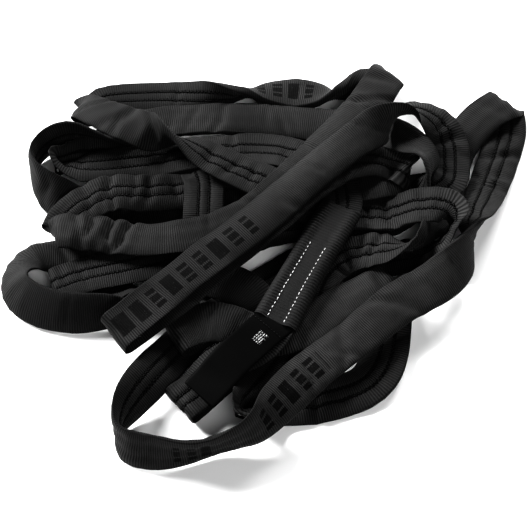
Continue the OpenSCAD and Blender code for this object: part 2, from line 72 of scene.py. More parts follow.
# ---- route
# Each point is x, y, z in mm and roll in degrees, then a width factor where it isn't 1, as in the CAD.
ROUTE_POINTS = [
    # sleeve_run_out: out of the label sleeve, up and over to the hidden turn behind it
    (69, 29, 37, 180), (99, 87, 37, 180), (97, 125, 37, 180), (72, 156, 31, 180),
    # back_left_run: leftwards under the top strap, flat, stitched face up
    (35, 180, 31, 180), (-10, 195, 20, 180), (-55, 190, 23, 180), (-100, 185, 23, 180),
    (-145, 180, 15, 180), (-195, 170, 19, 180), (-240, 160, 26, 165), (-270, 165, 25, 130),
    (-285, 170, 28, 95),
    # inner_left_turn: on its edge round the inner left turn and back under the heap
    (-270, 180, 21, 115, 0.75), (-240, 190, 12, 165), (-190, 195, 5, 180), (-140, 200, 5, 180),
    (-105, 190, 8, 180),
    # front_drop: down the middle towards the front edge
    (-80, 140, 25, 180), (-80, 105, 24, 180), (-80, 75, 14, 180), (-70, 35, 5, 180), (-75, -10, 5, 180),
    (-80, -60, 5, 180), (-105, -100, 10, 190), (-135, -145, 26, 205), (-160, -180, 27, 225),
    # front_corner: on its edge round the front left corner
    (-170, -200, 27, 245), (-175, -220, 27, 270), (-160, -240, 26, 300), (-130, -245, 26, 300),
    (-85, -245, 28, 275), (-50, -235, 30, 270),
    # front_strap: the long front strap, printed face up, rising to the right
    (-15, -225, 37, 290), (15, -190, 37, 335), (60, -140, 34, 355), (110, -100, 34, 360),
    (160, -55, 34, 360), (215, -20, 35, 355), (250, 15, 33, 320), (265, 55, 28, 270, 0.75),
    # right_loop_low: the large right-hand loop, lower leg and fold
    (270, 75, 26, 215), (290, 125, 16, 185), (315, 190, 7, 180), (330, 240, 5, 180), (330, 275, 5, 180),
    # right_loop_high: the large right-hand loop, upper leg, folded over the lower
    (330, 275, 19, 0), (295, 250, 18, 0), (270, 220, 13, 0), (250, 185, 8, 0), (240, 140, 5, 0),
    (235, 105, 8, 5),
    # kink: on its edge through the tight kink right of the middle
    (220, 80, 19, 45, 0.75), (205, 55, 33, 75, 0.65), (195, 35, 37, 90, 0.65), (180, 30, 32, 125, 0.7),
    (155, 30, 31, 170), (120, 30, 24, 180), (90, 20, 18, 180),
    # middle_diagonal: down-left under the label sleeve
    (65, -15, 15, 180), (60, -45, 12, 180), (40, -85, 14, 180), (20, -125, 15, 180),
    (-5, -160, 19, 185), (-25, -180, 19, 215, 0.9),
    # front_hook: a tight turn, then right along the floor at the front
    (-40, -190, 24, 265, 0.85), (-30, -195, 22, 225, 0.9), (10, -180, 8, 185), (50, -175, 5, 180),
    (90, -165, 5, 180), (125, -150, 5, 180), (145, -120, 5, 180), (155, -75, 5, 180),
    (160, -30, 5, 180), (160, -10, 5, 180),
    # middle_band: folded over and back up-left, printed face up
    (160, -10, 19, 0), (125, -30, 22, 0), (85, -55, 25, 0), (45, -85, 25, 0), (5, -95, 25, 0),
    (-30, -85, 26, 0),
    # small_fold: a short fold below the top strap
    (-55, -75, 31, 0), (-85, -80, 29, 0), (-110, -95, 34, 0), (-110, -95, 20, 180), (-80, -80, 19, 180),
    (-55, -60, 16, 180),
    # lower_right_run: right along the floor
    (-20, -25, 8, 180), (15, 0, 5, 180), (55, 25, 5, 180), (100, 25, 5, 180), (150, 30, 5, 180),
    (190, 35, 8, 185),
    # right_ear: on its edge round a small ear and back left
    (225, 40, 25, 235), (245, 65, 41, 270), (240, 80, 51, 205, 0.9), (190, 90, 39, 183),
    (165, 85, 26, 180), (125, 90, 22, 180), (80, 90, 27, 180),
    # rising_run: up-left over the back runs, then a half twist
    (45, 105, 25, 180), (5, 130, 31, 180), (-40, 150, 34, 180), (-80, 170, 39, 175),
    (-105, 185, 45, 150), (-130, 195, 49, 90, 0.8), (-155, 205, 46, 25), (-195, 225, 44, 0),
    (-230, 250, 36, 0), (-250, 265, 24, 0),
    # back_edge: along the back edge, with two half twists
    (-250, 265, 10, 180), (-220, 290, 6, 180), (-180, 295, 5, 180), (-130, 295, 7, 180),
    (-85, 290, 12, 165, 0.85), (-40, 295, 16, 90, 0.6), (-5, 300, 12, 15, 0.85), (40, 300, 9, 0),
    (80, 295, 12, 15, 0.85), (110, 295, 16, 90, 0.6), (140, 310, 15, 170), (170, 315, 17, 180),
    # second_diagonal: folded at the top, down-left beside the top strap
    (170, 315, 31, 0), (145, 270, 36, 0), (115, 230, 39, 0), (85, 190, 41, 0), (45, 140, 43, 0),
    (5, 95, 41, 0), (-40, 65, 37, 0),
    # left_band: left, printed face up, to the fold at the left
    (-75, 50, 37, 0), (-115, 40, 41, 0), (-165, 40, 37, 0), (-215, 50, 38, 0), (-265, 55, 36, 0),
    # left_band_under: folded under and back right
    (-265, 55, 22, 180), (-255, 80, 24, 180), (-230, 100, 29, 180), (-200, 115, 31, 180),
    (-160, 120, 25, 180), (-115, 130, 16, 180),
    # hidden_right_run: under the heap to the right
    (-65, 135, 14, 180), (-5, 140, 21, 180), (60, 160, 9, 180), (115, 140, 8, 180), (155, 125, 15, 180),
    (205, 125, 16, 180),
    # high_arc: round the high arc at the right
    (240, 135, 24, 180), (245, 165, 22, 180), (245, 200, 29, 180), (230, 225, 41, 175),
    # top_strap: a half twist, then the top strap down-left over everything
    (195, 235, 54, 150), (170, 220, 65, 100, 0.8), (145, 195, 69, 30), (110, 170, 65, 0),
    (50, 115, 63, 0), (-5, 60, 59, 0), (-60, 10, 57, 0), (-115, -40, 55, 0), (-155, -80, 53, 0),
    (-180, -100, 49, 0),
    # top_strap_under: folded under and straight back up below the top strap
    (-180, -100, 35, 180), (-155, -85, 42, 180), (-105, -45, 45, 180), (-50, 10, 47, 180),
    (5, 60, 50, 180), (60, 115, 53, 180), (110, 150, 51, 180), (145, 160, 43, 180), (170, 160, 30, 180),
    (185, 145, 43, 180),
    # low_left_run: folded, then left near the floor
    (185, 145, 29, 0), (155, 135, 33, 0), (125, 130, 30, 0), (80, 125, 18, 0), (25, 110, 12, 0),
    (-20, 120, 9, 0), (-75, 115, 5, 0), (-115, 120, 5, 0), (-150, 110, 5, 0), (-195, 100, 6, 0),
    # outer_left_loop: on its edge round the outer left loop
    (-240, 105, 10, 10), (-275, 120, 23, 45), (-300, 145, 28, 75), (-310, 170, 27, 88),
    (-295, 195, 29, 88), (-260, 210, 35, 88), (-220, 215, 27, 40), (-185, 225, 23, 0),
    # wide_back_band: right along the wide back band, printed face up
    (-135, 240, 21, 0), (-80, 245, 22, 0), (-25, 250, 17, 0), (30, 245, 16, 0), (75, 240, 18, 0),
    (120, 230, 22, 0), (155, 220, 30, 0),
    # right_dive: over the high arc, then down on its edge
    (180, 200, 42, 5), (200, 180, 48, 15), (215, 160, 52, 40), (215, 135, 48, 75, 0.75),
    (210, 130, 39, 130, 0.7),
    # floor_left_run: left along the floor
    (190, 110, 11, 175), (160, 90, 5, 180), (110, 85, 5, 180), (65, 85, 5, 180), (5, 75, 5, 180),
    (-35, 55, 17, 180), (-85, 30, 28, 180), (-145, 15, 25, 180), (-190, 5, 23, 180),
    (-235, -5, 20, 180), (-265, -20, 21, 180),
    # lower_left_loop: folded, then round the outer lower left loop
    (-265, -20, 7, 0), (-235, -20, 7, 0), (-195, -25, 11, 10), (-160, -25, 19, 50, 0.7),
    (-140, -40, 16, 90, 0.5), (-160, -55, 17, 80, 0.6), (-190, -55, 22, 50, 0.85), (-235, -60, 23, 45),
    (-280, -50, 23, 45), (-310, -30, 24, 50), (-315, 0, 21, 40), (-295, 30, 12, 15), (-250, 35, 5, 0),
    (-195, 35, 5, 0), (-145, 20, 10, 0), (-95, 5, 15, 0),
    # centre_band: down through the middle to the last fold
    (-45, -15, 22, 0), (-15, -35, 22, 0), (0, -70, 6, 0), (-15, -90, 5, 0), (-40, -120, 5, 0),
    (-70, -150, 5, 0), (-95, -175, 5, 0), (-100, -180, 5, 0),
    # sleeve_run_in: folded and up into the label sleeve
    (-100, -180, 19, 180), (-80, -165, 20, 180), (-60, -140, 32, 180), (-30, -125, 37, 180),
    (-5, -110, 36, 180), (15, -75, 37, 180), (42, -23, 37, 180),
]
ROUTE = np.array([(*point, 1)[:5] for point in ROUTE_POINTS], float)

HALF_WIDTH = 27 * MM  # of the cover as it lies flat
STEP = 4.5 * MM       # distance between the cover's rings
FOLD_REACH = 30 * MM  # how far a fold's tight bend is kept from being smoothed
FOLD_GAIN = 6         # how quickly that protection grows towards the fold
OVERSAMPLING = 2      # points taken from the spline for every ring


def unit(v):
    """Vectors scaled to length 1."""
    return v / np.maximum(np.linalg.norm(v, axis=-1, keepdims=True), 1e-12)


def level_axes(turn):
    """Two level directions at right angles, the first turned from +X."""
    x = np.array([math.cos(turn), math.sin(turn), 0])
    return x, np.array([-x[1], x[0], 0])


def blurred(values, sigma):
    """A line of values smoothed along its length, ends held; sigma is in rings."""
    reach = int(4 * sigma) + 1
    weights = np.exp(-0.5 * (np.arange(-reach, reach + 1) / sigma) ** 2)
    weights /= weights.sum()
    flat = values.reshape(len(values), -1)
    padded = np.concatenate([np.repeat(flat[:1], reach, 0), flat, np.repeat(flat[-1:], reach, 0)])
    columns = [np.convolve(padded[:, c], weights, "valid") for c in range(flat.shape[1])]
    return np.stack(columns, 1).reshape(values.shape)


def noise(sigma):
    """Smooth random values of about unit size along the sling, as one column."""
    raw = blurred(rng.standard_normal((rings, 1)), sigma)
    return raw / raw.std(0)


def distances(line):
    """How far along a line each of its points is."""
    return np.concatenate([[0], np.cumsum(np.linalg.norm(np.diff(line, axis=0), axis=1))])


def between(a, b, start, end, t):
    """From a at the start to b at the end."""
    return ((end - t) * a + (t - start) * b) / (end - start)


def spline_route():
    """The route as even rings: middles, width directions, width factors and fold weights."""
    points = ROUTE[:, :3] * MM + ORIGIN
    n = len(points)
    ahead, behind = np.roll(points, -1, 0), np.roll(points, 1, 0)
    heading = unit((ahead - behind) * [1, 1, 0])
    sideways = np.stack([heading[:, 1], -heading[:, 0], 0 * heading[:, 0]], 1)
    roll = np.radians(ROUTE[:, 3])[:, None]
    wide = np.cos(roll) * sideways + np.sin(roll) * [0, 0, 1]
    fold = np.linalg.norm((ahead - points)[:, :2], axis=1) < 1 * MM
    mid, wid, fac, bend = [], [], [], []
    for i in range(n):
        p = [points[(i + k) % n] for k in (-1, 0, 1, 2)]
        knots = np.cumsum([0] + [np.linalg.norm(b - a) ** 0.5 for a, b in zip(p, p[1:])])
        m = max(4, round(np.linalg.norm(p[2] - p[1]) / STEP * OVERSAMPLING))
        for t in knots[1] + (knots[2] - knots[1]) * np.arange(m) / m:
            q = p
            for level in (1, 2):
                q = [between(q[k], q[k + 1], knots[k], knots[k + level], t) for k in range(4 - level)]
            mid.append(between(*q, knots[1], knots[2], t))
            u = (t - knots[1]) / (knots[2] - knots[1])
            wid.append(wide[i] * (1 - u) + wide[(i + 1) % n] * u)
            fac.append(ROUTE[i, 4] * (1 - u) + ROUTE[(i + 1) % n, 4] * u)
            bend.append(float(fold[i]))
    mid, wid, fac, bend = (np.array(a) for a in (mid, wid, fac, bend))
    travelled = distances(mid)
    even = np.linspace(0, travelled[-1], round(travelled[-1] / STEP) + 1)

    def resampled(values):
        columns = values.reshape(len(values), -1).T
        return np.stack([np.interp(even, travelled, column) for column in columns], 1)

    return resampled(mid), resampled(wid), resampled(fac)[:, 0], resampled(bend)[:, 0]


def smoothed(values, beside_folds, elsewhere):
    """A line of values smoothed by two amounts, both in rings."""
    return blurred(values, beside_folds) * near_fold + blurred(values, elsewhere) * (1 - near_fold)


middle, wide, factor, at_fold = spline_route()
rings = len(middle)
near_fold = np.clip(blurred(at_fold, FOLD_REACH / STEP / 2) * FOLD_GAIN, 0, 1)[:, None]
middle = smoothed(middle, beside_folds=0.6, elsewhere=2.6)
wide = smoothed(wide, beside_folds=1, elsewhere=3)
along = unit(np.gradient(middle, axis=0))
wide = unit(wide - (wide * along).sum(1, keepdims=True) * along)
plain = np.cross(wide, along)  # outward from the plain, printed face
travel = distances(middle)
LENGTH = travel[-1]

# ---- section of the cover
SEAM = 7 * MM  # from the middle of the strap to each sewn row
# Where the section's points lie, as shares of the half width, on each face in turn
ACROSS_PLAIN = np.array([-1, -0.965, -0.9, -0.78, -0.62, -0.44, -0.24, 0,
                         0.24, 0.44, 0.62, 0.78, 0.9, 0.965, 1])
ACROSS_STITCHED = np.array([0.965, 0.9, 0.78, 0.62, 0.46, 0.34, 0.3, 0.26, 0.22, 0.13, 0,
                            -0.13, -0.22, -0.26, -0.3, -0.34, -0.46, -0.62, -0.78, -0.9, -0.965])
section = np.concatenate([ACROSS_PLAIN, ACROSS_STITCHED])
face = np.concatenate([np.ones(len(ACROSS_PLAIN)), -np.ones(len(ACROSS_STITCHED))])
face[[0, len(ACROSS_PLAIN) - 1]] = 0  # the two creased edges
around = len(section)

PUFF = 4.5 * MM         # how far the yarn pushes each face out in the middle
ROPE = 0.4 * MM         # height of two soft ropes of yarn that show through the cloth
SEAM_DEPTH = 0.95 * MM  # how far the sewn rows are drawn in
LAP_DEPTH = 0.25 * MM   # how much lower the lap between the rows lies
THINNEST = 0.35 * MM    # a crease leaves at least this much of a face
GATHER = 1.3 * MM       # height of the short wrinkles inside a bend
GATHER_PITCH = 13 * MM
EDGE_WANDER = 0.5 * MM
# The small creases, one after another along the sling
SMALL_CREASE = 3.2          # deepest, in mm
CREASE_WIDTH = (3.0, 7.0)   # narrowest and widest, in mm
CREASE_GAP = (0.016, 0.07)  # least and most from one to the next, in metres
CREASE_MARGIN = 0.03        # left free at the cover's cut ends, in metres
# Deep creases of single runs: where (mm in the route's frame), slant across, depth and width in mm
DEEP_CREASES = [
    ((-236, 55, 38), 0.2, 3.4, 4.5), ((-223, 51, 38), -0.1, 3.8, 4.0),
    ((-198, 46, 38), 0.1, 4.2, 3.6), ((-180, 42, 37), -0.25, 4.4, 4.2),
    ((-203, 114, 31), 0.15, 3.6, 3.4), ((-150, 110, 31), 0.4, 2.2, 6.0),
    ((-145, 203, 46), 0.6, 2.4, 5.5), ((-199, 227, 43), -0.5, 2.2, 6.0),
    ((103, 146, 52), 0.8, 2.6, 6.0), ((60, 112, 52), -0.9, 1.8, 7.0),
    ((296, 141, 14), 0.3, 2.6, 5.0), ((262, 200, 14), -0.6, 2.2, 5.0),
    ((160, -55, 34), 0.9, 2.0, 7.0), ((95, -112, 34), -0.7, 2.2, 6.0),
    ((-22, -192, 30), 0.5, 2.6, 4.5), ((156, 86, 24), -0.4, 3.0, 4.5),
    ((138, 31, 28), 0.4, 3.2, 4.0), ((-213, -23, 9), 0.3, 3.0, 5.0),
    ((-60, 245, 19), -0.4, 2.4, 5.0), ((66, -172, 8), 0.4, 2.6, 5.0),
]
SHALLOW_CREASES = 70  # how many more are scattered along the sling


def nearest_ring(place):
    """The ring closest to a place given in mm in the route's frame."""
    return int(np.linalg.norm(middle - (np.array(place) * MM + ORIGIN), axis=1).argmin())


def uneven_half_width():
    """Half the cover's width at every ring, with a slow and a quick change along it."""
    return HALF_WIDTH * factor * (1 + 0.022 * noise(9)[:, 0] + 0.012 * noise(2.5)[:, 0])


def puffed_faces(x):
    """How far out the yarn pushes each point, and the bulge it does so by, from 0 to 1."""
    full = PUFF * (1 + 0.2 * noise(14)[:, 0]) * (1 + 0.7 * (1 - factor))
    full *= 1 - 0.25 * near_fold[:, 0]
    shift = 0.16 * noise(22)[:, 0]
    bulge = np.clip(1 - np.abs((x - shift[:, None]) / (1 + np.abs(shift[:, None]))) ** 2.3, 0, None)
    pushed = full[:, None] * bulge ** 0.62
    # the ropes are higher on some stretches than on others, and wander a little
    ropes = ROPE * np.clip(0.6 + noise(30)[:, 0], 0, 2)[:, None]
    pushed += ropes * np.cos(2 * np.pi * (x * 1.5 + 0.15 * noise(40))) * bulge
    notch = np.exp(-((np.abs(x) - SEAM / HALF_WIDTH) / 0.05) ** 2)
    lap = np.abs(x) < SEAM / HALF_WIDTH
    pushed -= np.where(face < 0, SEAM_DEPTH * notch + LAP_DEPTH * lap, 0)
    return pushed, bulge


def small_creases(x):
    """Creases across the sling, each at its own angle and on one face or on both."""
    creases = np.zeros((rings, around))
    place = CREASE_MARGIN
    while place < LENGTH - CREASE_MARGIN:
        depth = rng.uniform(0.3, 1.0) ** 1.3 * SMALL_CREASE * MM
        slant = rng.uniform(-0.5, 0.5) * HALF_WIDTH
        width = rng.uniform(*CREASE_WIDTH) * MM
        centre = rng.uniform(-0.6, 0.6)
        spread = rng.uniform(0.5, 1.4)
        which = rng.choice([-1, 0, 0, 1])
        gap = travel[:, None] - place - slant * x
        mark = np.exp(-(gap / width) ** 2) - 0.35 * np.exp(-((np.abs(gap) - 2 * width) / width) ** 2)
        mark *= np.exp(-((x - centre) / spread) ** 2)
        creases += depth * mark * ((face == which) | (which == 0))
        place += rng.uniform(*CREASE_GAP)
    return creases


def deep_creases(x):
    """Creases that go right across, and how far each buckles the whole section down."""
    creases, buckle = np.zeros((rings, around)), np.zeros((rings, around))
    deep = [(travel[nearest_ring(place)], *rest) for place, *rest in DEEP_CREASES]
    deep += [(rng.uniform(0.05, LENGTH - 0.25), rng.uniform(-0.9, 0.9), rng.uniform(0.9, 2.6),
              rng.uniform(3.2, 6.5)) for _ in range(SHALLOW_CREASES)]
    down = np.sign(plain[:, 2:] + 1e-9)
    for at, slant, depth, width in deep:
        gap = np.abs(travel[:, None] - at - slant * HALF_WIDTH * x - 2 * MM * np.sin(x * 4 + at * 90))
        mark = np.exp(-(gap / (width * MM)) ** 2)
        lips = np.exp(-((gap - 2.4 * width * MM) / (1.6 * width * MM)) ** 2)
        creases += depth * MM * (mark - 0.3 * lips)
        buckle -= 0.55 * depth * MM * (mark - 0.4 * lips) * (0.6 + 0.4 * np.abs(x)) * down
    return creases, buckle


def gathered_bends(x):
    """The short wrinkles on the inside of every bend that isn't a fold."""
    turning = -(np.gradient(along, axis=0) / STEP * wide).sum(1) * HALF_WIDTH
    inner = np.clip(blurred(turning, 2)[:, None] * x, 0, 0.6) / 0.6
    beat = 2 * np.pi * (travel[:, None] / GATHER_PITCH + 0.25 * noise(6)) + 0.8 * x
    gathers = GATHER * inner ** 1.2 * np.sin(beat) * (0.4 + 0.6 * np.abs(x))
    return gathers * (1 - near_fold)


def cupped(x):
    """How the whole section cups and twists, and how its edges wander."""
    cup = (1.6 * noise(14) * x ** 2 + 1.3 * noise(7) * x + 1.0 * noise(4) * np.abs(x) ** 3) * MM
    return cup + EDGE_WANDER * np.abs(x) ** 4 * noise(3)


def build_offsets():
    """For every ring and section point: how far across, how far out and how far lifted it is."""
    x = np.repeat(section[None], rings, 0)
    half = uneven_half_width()
    pushed, bulge = puffed_faces(x)
    small = small_creases(x)
    deep, buckle = deep_creases(x)
    gathers = gathered_bends(x)
    dented = pushed - (small + deep) * (0.3 + 0.7 * bulge)
    pushed = np.maximum(dented, THINNEST + 0.15 * pushed) * np.abs(face)
    return half[:, None] * x, pushed, cupped(x) + gathers + buckle


across, out, lift = build_offsets()
sling_core = middle[:, None] + across[..., None] * wide[:, None] + lift[..., None] * plain[:, None]


def surface(depth):
    """The cover's points, each face standing out by a depth from the middle of the strap."""
    return sling_core + (depth * face)[..., None] * plain[:, None]


def tube_faces(count, m):
    """The quads of a tube with a number of rings of m points each."""
    a = np.arange(count - 1)[:, None] * m + np.arange(m)[None]
    b = np.arange(count - 1)[:, None] * m + (np.arange(m)[None] + 1) % m
    return np.stack([a, b, b + m, a + m], -1).reshape(-1, 4)


def closed_tube(count, m):
    """The same with both ends closed."""
    last = (count - 1) * m
    return [*tube_faces(count, m).tolist(), list(range(m))[::-1], [last + j for j in range(m)]]


def make_piece(name, points, faces, body="sling"):
    """A smooth mesh object, attached to its body; one made with no body is left unattached."""
    mesh = bpy.data.meshes.new(name)
    points = np.array(points, float).reshape(-1, 3)
    points[:, 2] = np.maximum(points[:, 2], 0.1 * MM)  # nothing goes into the floor
    mesh.from_pydata(points.tolist(), [], [list(map(int, f)) for f in faces])
    mesh.update()
    mesh.shade_smooth()
    piece = new_object(name, mesh)
    if body:
        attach(piece, body)
    return piece


# ---- where runs press together
PRESS_ROUNDS = 3
FAR_RING = 9         # a ring is not pressed by the rings next to it
SKIN = 0.25 * MM     # left free on each face where two runs touch
INSIDE = 0.5 * MM    # height left to a face that starts inside another run
LEAST_SHARE = 0.08   # of its height, kept by any face in one round


def pressed(out):
    """Runs that cross flatten each other: each face stops half way into the other's."""
    quads = tube_faces(rings, around).tolist()
    for _ in range(PRESS_ROUNDS):
        tree = BVHTree.FromPolygons(surface(out).reshape(-1, 3).tolist(), quads)
        new = out.copy()
        for i in range(rings):
            for j in range(around):
                if not face[j]:
                    continue
                d = out[i, j]
                way = Vector(plain[i] * face[j])
                place, normal, index, far = tree.ray_cast(Vector(sling_core[i, j]), way, d + SKIN)
                if place is None or abs(index // around - i) <= FAR_RING:
                    continue
                if normal.dot(way) > 0:  # the start is already inside the other run
                    new[i, j] = min(new[i, j], INSIDE)
                else:
                    new[i, j] = min(new[i, j], far + 0.5 * (d - far) - SKIN)
        ratio = np.clip(new / np.maximum(out, 1e-6), LEAST_SHARE, 1)
        spread = np.minimum(blurred(ratio, 1.2), ratio)
        out = out * (0.5 * spread + 0.5 * np.minimum(blurred(spread, 1.0), 1))
    return out


# Inside the label sleeve the cover lies flat and straight
UP = np.array([0.0, 0.0, 1.0])
SLEEVE_FOOT = np.array([12, -81, 37]) * MM + ORIGIN  # middle of the sleeve's lower end
SLEEVE_LENGTH = 190 * MM
SLEEVE_TURN = math.radians(62.7)
HELD_PAST = 3 * MM    # the hold goes on this far past the sleeve's ends
HELD_NEAR = 12 * MM   # only a run that is this close to the sleeve's middle line is held
HELD_NARROWER = 0.1   # shares of the width, the cupping and the height that the hold takes away
HELD_STRAIGHTER = 0.85
HELD_FLATTER = 0.55
COVER_CLEARANCE = 0.3 * MM  # of the floor
sleeve_x, sleeve_y = level_axes(SLEEVE_TURN)
offset = (middle - SLEEVE_FOOT) @ np.stack([sleeve_x, sleeve_y, UP], 1)
held = ((offset[:, 0] > -HELD_PAST) & (offset[:, 0] < SLEEVE_LENGTH + HELD_PAST)
        & (np.abs(offset[:, 1]) < HELD_NEAR) & (np.abs(offset[:, 2]) < HELD_NEAR)
        & (np.abs(along @ sleeve_x) > 0.9)).astype(float)
held = blurred(held, 1.2)[:, None]
sling_core -= (held * (offset[:, 1:2] * sleeve_y + offset[:, 2:] * UP))[:, None]
sling_core -= (held * HELD_NARROWER)[..., None] * across[..., None] * wide[:, None]
sling_core -= (held * HELD_STRAIGHTER)[..., None] * lift[..., None] * plain[:, None]

out = pressed(out) * (1 - HELD_FLATTER * held)
points = surface(out)
points[..., 2] = np.maximum(points[..., 2], COVER_CLEARANCE)
cover = make_piece("cover", points, closed_tube(rings, around))
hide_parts("cover_sleeve")


def paint_uv(piece, values, name="UVMap"):
    """Sets a UV map from one (u, v) for every face corner."""
    layer = piece.data.uv_layers.get(name) or piece.data.uv_layers.new(name=name)
    layer.data.foreach_set("uv", np.asarray(values, np.float32).ravel())


# U runs along the sling in metres; V is the distance across, with 1 added on the stitched face
ring_of = np.arange(rings - 1)[:, None]
corner_rings = np.stack([ring_of + k for k in (0, 0, 1, 1)], -1)
corner_rings = np.broadcast_to(corner_rings, (rings - 1, around, 4))
on_plain = np.arange(around) < len(ACROSS_PLAIN) - 1
closed_section = np.concatenate([section, [-1.0]])
corner_x = np.stack([closed_section[np.arange(around) + k] for k in (0, 1, 1, 0)], -1)
corner_v = corner_x * HALF_WIDTH + np.where(on_plain, 0.0, 1.0)[:, None]
caps = np.zeros((2 * around, 2))
uv = np.stack([travel[corner_rings], np.broadcast_to(corner_v[None], corner_rings.shape)], -1)
paint_uv(cover, np.concatenate([uv.reshape(-1, 2), caps]))

# Printed marks on the plain face: from one place to another (mm), with a number of blocks
MARKS = [((-180, -104, 54), (-10, 56, 60), 9), ((-18, 300, 12), (74, 292, 12), 4),
         ((-240, -20, 7), (-222, -20, 9), 1), ((-112, -248, 27), (-60, -238, 30), 3),
         ((-8, -218, 38), (66, -136, 34), 5)]
MARK_HEIGHT = 15 * MM  # half the height of the marks
NO_PRINT_U = -9.0      # below 0, where the material prints nothing
NO_PRINT_V = 5.0       # beyond 1, the upper end of every mark
ink = np.full((rings - 1, 4), NO_PRINT_U)
for start, end, blocks in MARKS:
    first, last = sorted((nearest_ring(start), nearest_ring(end)))
    span = travel[last] - travel[first]
    for i in range(max(first - 1, 0), min(last + 1, rings - 1)):
        ink[i] = (travel[[i, i, i + 1, i + 1]] - travel[first]) / span * blocks
ink_u = np.broadcast_to(ink[:, None], corner_rings.shape)
ink_v = np.where(on_plain[:, None], corner_x * HALF_WIDTH / MARK_HEIGHT, NO_PRINT_V)
ink_uv = np.stack([ink_u, np.broadcast_to(ink_v[None], corner_rings.shape)], -1)
paint_uv(cover, np.concatenate([ink_uv.reshape(-1, 2), caps + NO_PRINT_U]), "Print")
cover.data.uv_layers["UVMap"].active = True


# ---- stitching
def side_columns(side):
    """The points of one face of the cover, ordered by how far across they are."""
    if side > 0:
        return points[:, :len(ACROSS_PLAIN)], ACROSS_PLAIN
    cols = np.concatenate([[0], np.arange(len(ACROSS_PLAIN), around)[::-1], [len(ACROSS_PLAIN) - 1]])
    return points[:, cols], np.concatenate([[-1], ACROSS_STITCHED[::-1], [1]])


def on_cover(at, x, side):
    """Points on the cover's face and their outward directions, at distances along it."""
    pts, xs = side_columns(side)
    at, x = np.broadcast_arrays(np.asarray(at, float), np.asarray(x, float))
    i = np.clip(np.searchsorted(travel, at) - 1, 0, rings - 2)
    u = ((at - travel[i]) / (travel[i + 1] - travel[i]))[:, None]
    j = np.clip(np.searchsorted(xs, x) - 1, 0, len(xs) - 2)
    v = ((x - xs[j]) / (xs[j + 1] - xs[j]))[:, None]
    low = pts[i, j] * (1 - v) + pts[i, j + 1] * v
    high = pts[i + 1, j] * (1 - v) + pts[i + 1, j + 1] * v
    away = np.cross(pts[i + 1, j] - pts[i, j], pts[i, j + 1] - pts[i, j])
    way = unit(plain[i]) * side
    away = unit(away) * np.sign((away * way).sum(1, keepdims=True))
    return low * (1 - u) + high * u, away


def threads(name, starts, ends, ways, thick, arch, sides=4):
    """Short stitches: each thread dips in at both ends and rises over the cloth between."""
    shares = np.array([0.0, 0.2, 0.5, 0.8, 1.0])
    girth = np.array([0.35, 0.9, 1.0, 0.9, 0.35]) * thick / 2
    rise = np.array([-0.5, 0.25, 0.5, 0.25, -0.5]) * thick + np.array([0, 0.7, 1, 0.7, 0]) * arch
    ways = np.broadcast_to(ways, starts.shape)
    beside = unit(np.cross(unit(ends - starts), ways))
    turn = 2 * np.pi * (np.arange(sides) + 0.5) / sides
    spine = starts[:, None] + shares[None, :, None] * (ends - starts)[:, None] \
        + rise[None, :, None] * ways[:, None]
    pts = spine[:, :, None] + girth[None, :, None, None] * (
        np.cos(turn)[None, None, :, None] * beside[:, None, None]
        + np.sin(turn)[None, None, :, None] * ways[:, None, None])
    count, per = len(starts), len(shares) * sides
    one = tube_faces(len(shares), sides)
    faces = (one[None] + np.arange(count)[:, None, None] * per).reshape(-1, 4).tolist()
    for k in range(count):
        faces.append([k * per + s for s in range(sides)][::-1])
        faces.append([k * per + per - sides + s for s in range(sides)])
    return make_piece(name, pts, faces)


STITCH_RUN = 2.6 * MM    # along the seam, from one needle hole to the next
ZIGZAG = 1.3 * MM        # how far each hole is to the side of its row
SEAM_THREAD = 1.15 * MM
SEAM_ARCH = 0.2 * MM     # how far a thread stands up between its holes
SEAM_MARGIN = 5 * MM     # left without stitches at each end of the cover
JOIN_MARGIN = 6 * MM     # from each end of the cover to the stitches that join it
JOIN_POINTS = 16
JOIN_THREAD = 0.7 * MM
JOIN_ARCH = 0.1 * MM

seam_pieces = []
for name, centre in (("seam_stitches_left", -SEAM), ("seam_stitches_right", SEAM)):
    count = int((LENGTH - 2 * SEAM_MARGIN) / STITCH_RUN)
    at = SEAM_MARGIN + STITCH_RUN * np.arange(count + 1) + rng.uniform(-0.25, 0.25, count + 1) * MM
    swing = np.where(np.arange(count + 1) % 2, 1, -1) * ZIGZAG * rng.uniform(0.85, 1.15, count + 1)
    spot, way = on_cover(at, (centre + swing) / HALF_WIDTH, -1)
    ways = unit(way[:-1] + way[1:])
    seam_pieces.append(threads(name, spot[:-1], spot[1:], ways, SEAM_THREAD, SEAM_ARCH))
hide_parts("seam_thread_left")
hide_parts("seam_thread_right")

# The cover's cut ends are sewn across on both faces, under the label sleeve
joins = [on_cover(np.full(JOIN_POINTS, at), np.linspace(-0.9, 0.9, JOIN_POINTS), side)
         for at in (JOIN_MARGIN, LENGTH - JOIN_MARGIN) for side in (1, -1)]
join_start = np.concatenate([spot[:-1] for spot, _ in joins])
join_end = np.concatenate([spot[1:] for spot, _ in joins])
join_way = np.concatenate([unit(way[:-1] + way[1:]) for _, way in joins])
gap = 0.2 * (join_end - join_start)
join_piece = threads("join_stitches", join_start + gap, join_end - gap, join_way, JOIN_THREAD, JOIN_ARCH)
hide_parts("cover_join_stitches")

# ---- load yarn inside
YARN_PLACE = 0.53       # of the half width, from the middle to the outer bundles
YARN_HALF_WIDTH = 0.1   # of the cover's half width
YARN_FILL = 0.45        # of the room between the strap's middle and its nearer face
YARN_HEIGHT = (0.04 * MM, 2.2 * MM)  # least and most, from the bundle's middle
YARN_SIDES = 8

